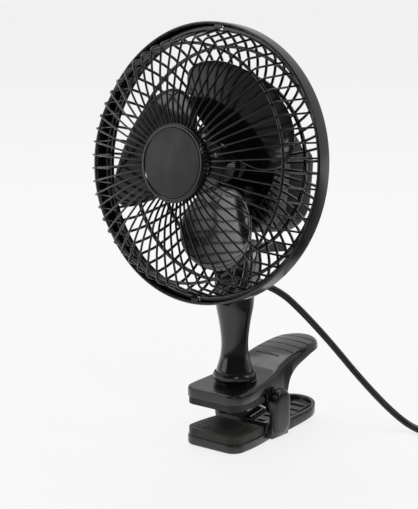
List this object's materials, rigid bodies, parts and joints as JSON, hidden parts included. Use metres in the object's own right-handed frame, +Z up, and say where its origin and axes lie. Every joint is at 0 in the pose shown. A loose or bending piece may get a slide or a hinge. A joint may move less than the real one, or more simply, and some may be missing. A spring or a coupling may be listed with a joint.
{
  "type": "clip fan",
  "caption": "Small desk fan on a sprung clip: caged three-leaf blade, tilting head on a waisted swivel stalk, padded jaws, mains cord and plug.",
  "frame": {"origin": "on the flat underside of the lower jaw, below the middle of the jaws", "axes": "+X across the clip, +Y from the jaws towards the handles, +Z up; the head blows towards -Y"},
  "size_m": [0.2785, 0.2196, 0.2812],
  "materials": {
    "clip_black": "satin moulded plastic",
    "pad_rubber": "matt, grooved",
    "steel": "bright zinc-plated or ground",
    "stalk_black": "gloss",
    "guard_black": "gloss",
    "blade_black": "gloss",
    "badge_grey": "matt",
    "housing_black": "fine matt texture",
    "knob_black": "matt, white figures",
    "switch_plastic": "bare moulding",
    "laminated_iron": "stacked sheet, varnished",
    "winding_copper": "enamelled wire",
    "bearing_bronze": "sintered",
    "cord_black": "soft vinyl sheath",
    "plug_black": "moulded on the cord",
    "plug_brass": "nickel-plated"
  },
  "bodies": {
    "lower_clip": {"lower_jaw": "clip_black", "lower_pad": "pad_rubber", "pivot_pin": "steel", "pivot_caps": "clip_black", "torsion_spring": "steel"},
    "upper_clip": {"upper_jaw": "clip_black", "upper_pad": "pad_rubber"},
    "stalk": {"stalk": "stalk_black", "swivel_screw": "steel", "swivel_washer": "steel", "tilt_bolt": "steel", "tilt_nut": "steel", "cord_gland": "cord_black", "mains_cord": "cord_black", "cord_coil": "cord_black", "cord_tail": "cord_black", "plug_body": "plug_black", "plug_pins": "plug_brass"},
    "head": {"front_guard": "guard_black", "rear_guard": "guard_black", "badge_cap": "badge_grey", "guard_screws": "steel", "front_housing": "housing_black", "rear_housing": "housing_black", "housing_screws": "steel", "motor_bolts": "steel", "stator_core": "laminated_iron", "stator_coils": "winding_copper", "front_bracket": "steel", "rear_bracket": "steel", "front_bearing": "bearing_bronze", "rear_bearing": "bearing_bronze", "switch_body": "switch_plastic"},
    "fan": {"fan_blade": "blade_black", "motor_shaft": "steel", "rotor": "laminated_iron"},
    "knob": {"speed_knob": "knob_black"}
  },
  "joints": [
    {"name": "clip_open", "type": "hinge", "parent": "lower_clip", "child": "upper_clip", "pos_m": [0, 0.03, 0.026], "axis": [-1, 0, 0], "range_deg": [-20, 30], "stiffness_Nm_per_rad": 4, "springref_deg": 1.72, "deforming": ["torsion_spring"]},
    {"name": "neck_swivel", "type": "hinge", "parent": "upper_clip", "child": "stalk", "pos_m": [0, 0.0102, 0.045], "axis": [0, 0, 1], "range_deg": [-90, 90], "deforming": ["mains_cord"]},
    {"name": "head_tilt", "type": "hinge", "parent": "stalk", "child": "head", "pos_m": [0, 0.013, 0.129], "axis": [-1, 0, 0], "range_deg": [-18, 22]},
    {"name": "blade_spin", "type": "hinge", "parent": "head", "child": "fan", "pos_m": [0, -0.0198, 0.1915], "axis": [0, -0.9907, 0.1362], "continuous": true},
    {"name": "knob_turn", "type": "hinge", "parent": "head", "child": "knob", "pos_m": [0, 0.06069, 0.16024], "axis": [0, -0.9907, 0.1362], "range_deg": [0, 90]}
  ]
}
